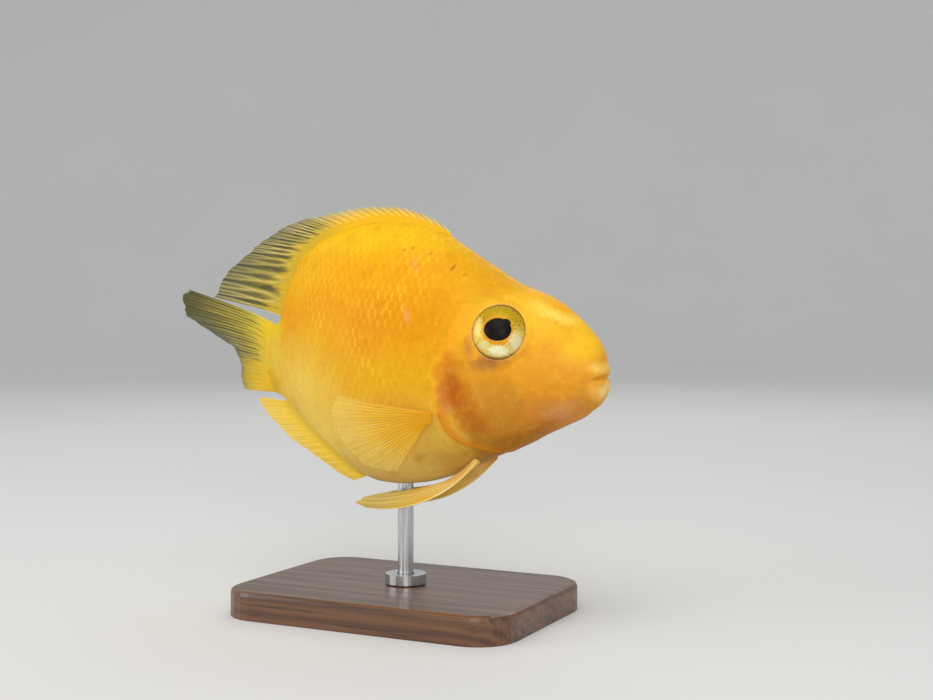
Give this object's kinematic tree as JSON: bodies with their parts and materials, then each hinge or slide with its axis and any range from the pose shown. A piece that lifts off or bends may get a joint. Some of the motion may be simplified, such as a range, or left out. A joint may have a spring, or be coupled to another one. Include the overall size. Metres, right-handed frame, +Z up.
{
  "type": "blood parrot cichlid",
  "caption": "Life-size yellow-orange blood parrot cichlid in a turning swimming pose, deep-bodied with large eyes, raked dorsal fin and curled tail fin, on a rod over a dark wooden base.",
  "frame": {"origin": "centre of the whole model's box in plan, on the underside of the stand's base", "axes": "+X toward the fish's nose, +Y to the fish's left, +Z up; the floor is at z 0"},
  "size_m": [0.13, 0.058, 0.103],
  "materials": {
    "skin": "wet scaled skin, yellow-orange",
    "fin": "wet fin membrane and rays, pale yellow",
    "eye": "glossy, pale gold iris round a dark pupil",
    "stand_wood": "dark satin lacquered walnut",
    "stand_steel": "brushed steel"
  },
  "bodies": {
    "root": {"head": "skin", "torso": "skin", "tail_stem": "skin", "gill_cover_right": "skin", "gill_cover_left": "skin", "eye_right": "eye", "eye_left": "eye", "dorsal_fin": "fin", "anal_fin": "fin", "tail_fin": "fin", "pectoral_fin_right": "fin", "pectoral_fin_left": "fin", "pelvic_fin_right": "fin", "pelvic_fin_left": "fin", "stand_base": "stand_wood", "stand_rod": "stand_steel", "stand_collar": "stand_steel"}
  },
  "joints": []
}
